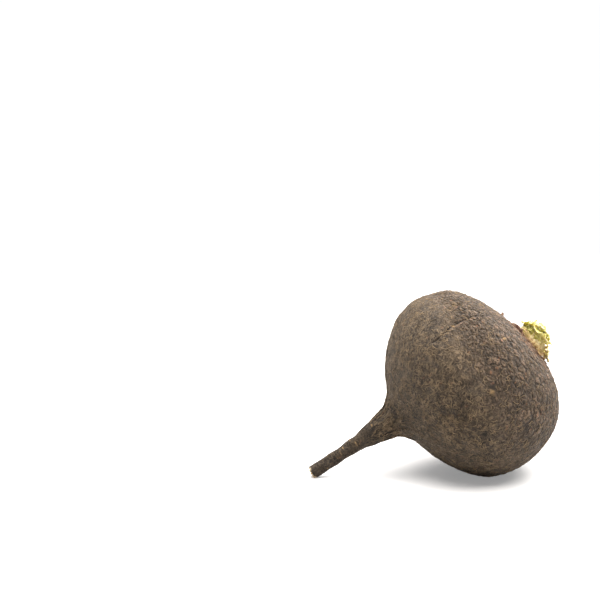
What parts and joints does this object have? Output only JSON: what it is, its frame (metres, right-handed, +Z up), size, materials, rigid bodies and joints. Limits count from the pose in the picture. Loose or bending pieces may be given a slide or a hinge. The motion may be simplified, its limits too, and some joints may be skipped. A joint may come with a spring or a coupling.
{
  "type": "black radish",
  "caption": "Round black radish root lying on its side, with a long taproot, a corky crown and a small tuft of young leaves.",
  "frame": {"origin": "centre of the small flat spot that the body rests on, on the supporting surface", "axes": "+Z up; the root's axis lies in the XZ plane, its crown up at +X and its taproot down at -X; +Y across"},
  "size_m": [0.1126, 0.0864, 0.0822],
  "materials": {
    "dark_skin": "matt, rough, brown-black corky skin",
    "dry_sheath": "dry, fibrous, straw coloured",
    "bud_green": "fresh, pale yellow-green, satin",
    "young_leaf_green": "fresh, yellow-green, satin"
  },
  "bodies": {
    "root": {"root": "dark_skin", "leaf_sheaths": "dry_sheath", "bud": "bud_green", "young_leaf_1": "young_leaf_green", "young_leaf_2": "young_leaf_green", "young_leaf_3": "young_leaf_green", "young_leaf_4": "young_leaf_green", "young_leaf_5": "young_leaf_green", "young_leaf_6": "young_leaf_green"}
  },
  "joints": []
}
